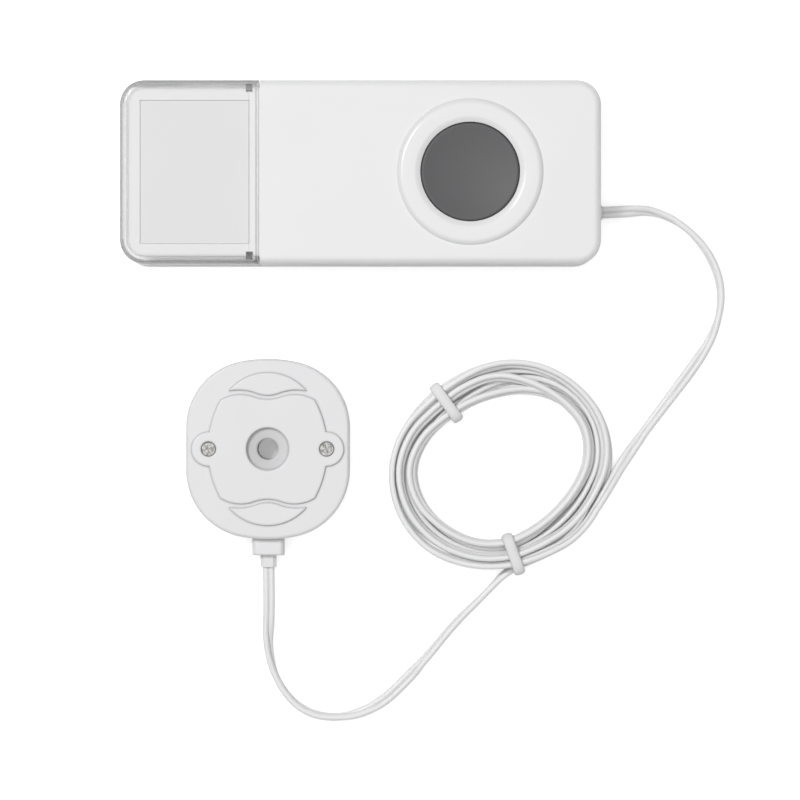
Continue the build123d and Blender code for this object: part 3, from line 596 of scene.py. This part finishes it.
def window_outline(nodes, links, x, side):
    """How far a place is inside the window's outline, and past its corners' centres in x and y."""
    past_x = calculate(nodes, links, "SUBTRACT", CORNER_X * MM, x)
    past_y = calculate(nodes, links, "SUBTRACT", side, CORNER_Y * MM)
    squares = []
    for past in (past_x, past_y):
        outward = calculate(nodes, links, "MAXIMUM", past, 0.0)
        squares.append(calculate(nodes, links, "MULTIPLY", outward, outward))
    reach = calculate(nodes, links, "SQRT", calculate(nodes, links, "ADD", *squares))
    return calculate(nodes, links, "SUBTRACT", CORNER_RADIUS * MM, reach), past_x, past_y


def window_edge_shade(nodes, links, inside, y):
    """Painted shade of the moulded edge, as greys, fainter at the window's lower wall."""
    lines = nodes.new("ShaderNodeValToRGB")
    links.new(calculate(nodes, links, "MULTIPLY", inside, 1 / (EDGE_DEPTH * MM)), lines.inputs["Fac"])
    stops = lines.color_ramp.elements
    for stop, (position, shade) in zip((stops[0], stops[1]), (EDGE_SHADES[0], EDGE_SHADES[-1])):
        stop.position, stop.color = position, grey(shade)
    for position, shade in EDGE_SHADES[1:-1]:
        stops.new(position).color = grey(shade)
    fade = map_range(nodes, links, y, in_metres(EDGE_FADE_Y), EDGE_FADE)
    return calculate(nodes, links, "MULTIPLY", lines.outputs["Color"], fade)


def window_streak_shade(nodes, links, place, side):
    """Painted shade as fine streaks along the window's two long walls."""
    wall = map_range(nodes, links, side, in_metres((WALL_START, WALL_START + WALL_FADE)))
    stretch = nodes.new("ShaderNodeMapping")
    stretch.inputs["Scale"].default_value = (STREAK_STRETCH, 1, 1)
    links.new(place, stretch.inputs["Vector"])
    streaks = nodes.new("ShaderNodeTexNoise")
    streaks.inputs["Scale"].default_value = STREAK_SCALE
    links.new(stretch.outputs["Vector"], streaks.inputs["Vector"])
    return calculate(nodes, links, "MULTIPLY", wall, streaks.outputs["Fac"])


def window_tint_and_shade(nodes, links):
    """What the window lets through: its own tint, painted shade as greys for its walls, lines and corners,
    painted shade over its latches and a painted glint at its left end.
    """
    place = nodes.new("ShaderNodeTexCoord").outputs["Object"]
    split = nodes.new("ShaderNodeSeparateXYZ")
    links.new(place, split.inputs["Vector"])
    x, y = split.outputs["X"], split.outputs["Y"]
    side = calculate(nodes, links, "ABSOLUTE", y)
    inside, past_x, past_y = window_outline(nodes, links, x, side)

    streaky = window_streak_shade(nodes, links, place, side)
    upper = map_range(nodes, links, y, in_metres(STREAK_Y), STREAK_GAIN)
    walls = calculate(nodes, links, "MULTIPLY", streaky, upper)
    shade = calculate(nodes, links, "ADD", walls, window_edge_shade(nodes, links, inside, y))

    # Painted shade: dark lines at the window's end, at the gap before the cover, and a faint one at the
    # card's step
    ends = calculate(nodes, links, "MAXIMUM", band(nodes, links, x, *END_LINE),
                     band(nodes, links, x, *DIVIDER_LINE))
    strength = calculate(nodes, links, "ADD", calculate(nodes, links, "MULTIPLY", streaky, END_STREAKS),
                         END_LINE_SHADE)
    end_lines = calculate(nodes, links, "MULTIPLY", ends, strength)
    step_line = calculate(nodes, links, "MULTIPLY", band(nodes, links, x, *STEP_LINE), STEP_LINE_SHADE)
    shade = calculate(nodes, links, "MAXIMUM", shade,
                      calculate(nodes, links, "MAXIMUM", end_lines, step_line))

    # Painted shade: grey arcs round the window's left corners
    left = calculate(nodes, links, "GREATER_THAN", past_x, 0.0)
    corner = calculate(nodes, links, "MULTIPLY", left,
                       calculate(nodes, links, "GREATER_THAN", past_y, 0.0))
    arc = calculate(nodes, links, "MULTIPLY", corner, band(nodes, links, inside, *CORNER_ARC))
    shade = calculate(nodes, links, "MAXIMUM", shade,
                      calculate(nodes, links, "MULTIPLY", arc, CORNER_ARC_SHADE))
    shade = calculate(nodes, links, "MINIMUM", shade, 1.0)

    glint = calculate(nodes, links, "MULTIPLY", band(nodes, links, inside, *CORNER_GLINT), left)
    # Painted shade: dark squares over the latches' pockets
    latch = calculate(nodes, links, "MULTIPLY", band(nodes, links, x, *LATCH_X),
                      band(nodes, links, side, *LATCH_Y))
    below = calculate(nodes, links, "LESS_THAN", split.outputs["Z"], TOP_FROM * MM)
    # Own tint with its painted glint, then painted shade of walls, lines and corners, then the latches'
    # painted shade
    colour = mix_colours(nodes, links, glint, grey(WINDOW_TINT), grey(1))
    colour = mix_colours(nodes, links, shade, colour, grey(WALL_SHADE))
    colour = mix_colours(nodes, links, latch, colour, grey(LATCH_SHADE))
    deeper = nodes.new("ShaderNodeGamma")
    deeper.inputs["Gamma"].default_value = TINT_GAMMA
    links.new(colour, deeper.inputs["Color"])
    return mix_colours(nodes, links, below, deeper.outputs["Color"], grey(SIDE_TINT))


def clear_plastic(name):
    """Clear acrylic over the card. Shadows, soft light and late bounces pass it without bending."""
    material, nodes, links, shader = node_material(name)
    shader.inputs["Roughness"].default_value = WINDOW_ROUGHNESS
    shader.inputs["IOR"].default_value = WINDOW_IOR
    shader.inputs["Transmission Weight"].default_value = 1
    links.new(window_tint_and_shade(nodes, links), shader.inputs["Base Color"])
    ripple = add_noise(nodes, links, RIPPLE_SCALE)
    bump = add_bump(nodes, links, ripple, RIPPLE_STRENGTH, RIPPLE_DEPTH)
    links.new(bump.outputs["Normal"], shader.inputs["Normal"])

    clear = nodes.new("ShaderNodeBsdfTransparent")
    clear.inputs["Color"].default_value = grey(PASSING_TINT)
    path = nodes.new("ShaderNodeLightPath")
    late = calculate(nodes, links, "GREATER_THAN", path.outputs["Ray Depth"], LAST_BOUNCE)
    passing = calculate(nodes, links, "MAXIMUM", path.outputs["Is Shadow Ray"],
                        path.outputs["Is Diffuse Ray"])
    mix = nodes.new("ShaderNodeMixShader")
    links.new(calculate(nodes, links, "MAXIMUM", passing, late), mix.inputs["Fac"])
    links.new(shader.outputs["BSDF"], mix.inputs[1])
    links.new(clear.outputs["BSDF"], mix.inputs[2])
    links.new(mix.outputs["Shader"], nodes["Material Output"].inputs["Surface"])
    return material


MATERIALS = {
    "white_shell": plastic("white_shell", (0.83, 0.83, 0.835), 0.26, 4000, 0.08, 0.02, 0.02),
    "clear_window": clear_plastic("clear_window"),
    "card": plastic("card", (0.82, 0.82, 0.825), 0.75, 7000, 0.15, 0.02),
    "grey_button": plastic("grey_button", (0.092, 0.092, 0.096), 0.5, 5000, 0.25, 0.05),
    "board_green": plastic("board_green", (0.05, 0.22, 0.10), 0.4, 3000, 0.2, 0.2),
    "black_plastic": plastic("black_plastic", (0.03, 0.03, 0.03), 0.5, 4000, 0.3, 0.2),
    "cell_jacket": plastic("cell_jacket", (0.25, 0.25, 0.27), 0.25, 3000, 0.05, 0.05),
    "spring_steel": metal("spring_steel", (0.62, 0.61, 0.59), 0.35),
    "shield_can": metal("shield_can", (0.68, 0.68, 0.67), 0.4),
    "chip_ceramic": plastic("chip_ceramic", (0.35, 0.27, 0.18), 0.5, 4000, 0.2, 0.1),
    "copper_wire": metal("copper_wire", (0.72, 0.42, 0.22), 0.3),
    "white_connector": plastic("white_connector", (0.78, 0.77, 0.72), 0.45, 4000, 0.1),
    # The lead's jacket has painted shade near steps and inner corners
    "lead_jacket": plastic("lead_jacket", (0.86, 0.86, 0.86), 0.36, 2500, 0.15, crease_shade=(0.5, 0.5)),
    "soft_white": plastic("soft_white", (0.80, 0.80, 0.80), 0.6, 1500, 0.9),
    "probe_white": probe_plastic("probe_white"),
    "contact_steel": metal("contact_steel", (0.40, 0.395, 0.385), 0.35, 0.5, 1500, 0.4),
}


def dress_nodes():
    """Gives each CAD node the material of its slot."""
    for part in frame["record"]["subparts"]:
        materials = frame["nodes"][part["node"]].data.materials
        materials.clear()
        materials.append(MATERIALS[part["material_slot"]])


# Floor and light

def floor():
    """White floor that keeps the shadows; what the camera sees of it glows, with painted shade where the glow
    is weaker in the probe's hole and missing under the coil.
    """
    bpy.ops.mesh.primitive_plane_add(size=FLOOR_METRES, location=(0, 0, FLOOR_Z * MM))
    obj = bpy.context.object
    obj.name = "floor"
    material, nodes, links, shader = node_material("floor")
    shader.inputs["Base Color"].default_value = grey(FLOOR_TONE)
    shader.inputs["Roughness"].default_value = FLOOR_ROUGHNESS
    shader.inputs["Specular IOR Level"].default_value = 0.0
    place = nodes.new("ShaderNodeTexCoord").outputs["Object"]
    # Painted shade: less glow in the probe's hole and none in an oval band under the coil
    away = vector_math(nodes, links, "DISTANCE", place, (PROBE_X * MM, PROBE_Y * MM, 0))
    beyond = calculate(nodes, links, "GREATER_THAN", away, PROBE_HOLE * MM)
    outside = calculate(nodes, links, "MAXIMUM", beyond, HOLE_GLOW)
    oval = nodes.new("ShaderNodeMapping")
    oval.vector_type = "TEXTURE"
    oval.inputs["Location"].default_value = (COIL_X * MM, COIL_Y * MM, 0)
    oval.inputs["Rotation"].default_value = (0, 0, math.radians(OVAL_TURN))
    oval.inputs["Scale"].default_value = (OVAL_HALF_X * MM, OVAL_HALF_Y * MM, 1)
    links.new(place, oval.inputs["Vector"])
    reach = vector_math(nodes, links, "LENGTH", oval.outputs["Vector"])
    under_coil = calculate(nodes, links, "COMPARE", reach, 1.0, OVAL_BAND)
    clear = calculate(nodes, links, "SUBTRACT", outside, under_coil)
    path = nodes.new("ShaderNodeLightPath")
    seen = calculate(nodes, links, "MAXIMUM", path.outputs["Is Camera Ray"],
                     path.outputs["Is Transmission Ray"])
    strength = calculate(nodes, links, "MULTIPLY", seen, FLOOR_GLOW)
    glow = nodes.new("ShaderNodeEmission")
    links.new(calculate(nodes, links, "MULTIPLY", strength, clear), glow.inputs["Strength"])
    add = nodes.new("ShaderNodeAddShader")
    links.new(shader.outputs["BSDF"], add.inputs[0])
    links.new(glow.outputs["Emission"], add.inputs[1])
    links.new(add.outputs["Shader"], nodes["Material Output"].inputs["Surface"])
    obj.data.materials.append(material)


def area_light(name, location, size, power):
    data = bpy.data.lights.new(name, "AREA")
    data.size = size
    data.energy = power
    obj = bpy.data.objects.new(name, data)
    obj.location = location
    aim = Vector(LIGHT_TARGET) - Vector(location)
    obj.rotation_euler = aim.to_track_quat("-Z", "Y").to_euler()
    bpy.context.scene.collection.objects.link(obj)


def lights():
    """Soft light from above the camera, a smaller one from the left and a dim surround."""
    world = bpy.data.worlds.new("studio")
    world.use_nodes = True
    background = world.node_tree.nodes["Background"]
    background.inputs["Color"].default_value = grey(1)
    background.inputs["Strength"].default_value = WORLD_STRENGTH
    bpy.context.scene.world = world
    area_light("overhead", OVERHEAD_AT, OVERHEAD_SIZE, OVERHEAD_POWER)
    area_light("key", KEY_AT, KEY_SIZE, KEY_POWER)


camera()
twin_lead, lead_line, lead_length = lead()
lights()
floor()
dress_nodes()

ties = [tie("tie_upper", *UPPER_TIE), tie("tie_lower", *LOWER_TIE)]
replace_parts(ties[0], "coil_tie_upper")
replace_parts(ties[1], "coil_tie_lower")
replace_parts(ring(), "button_bezel")
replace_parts(button(), "button_cap")

bpy.context.scene.view_settings.view_transform = "Standard"
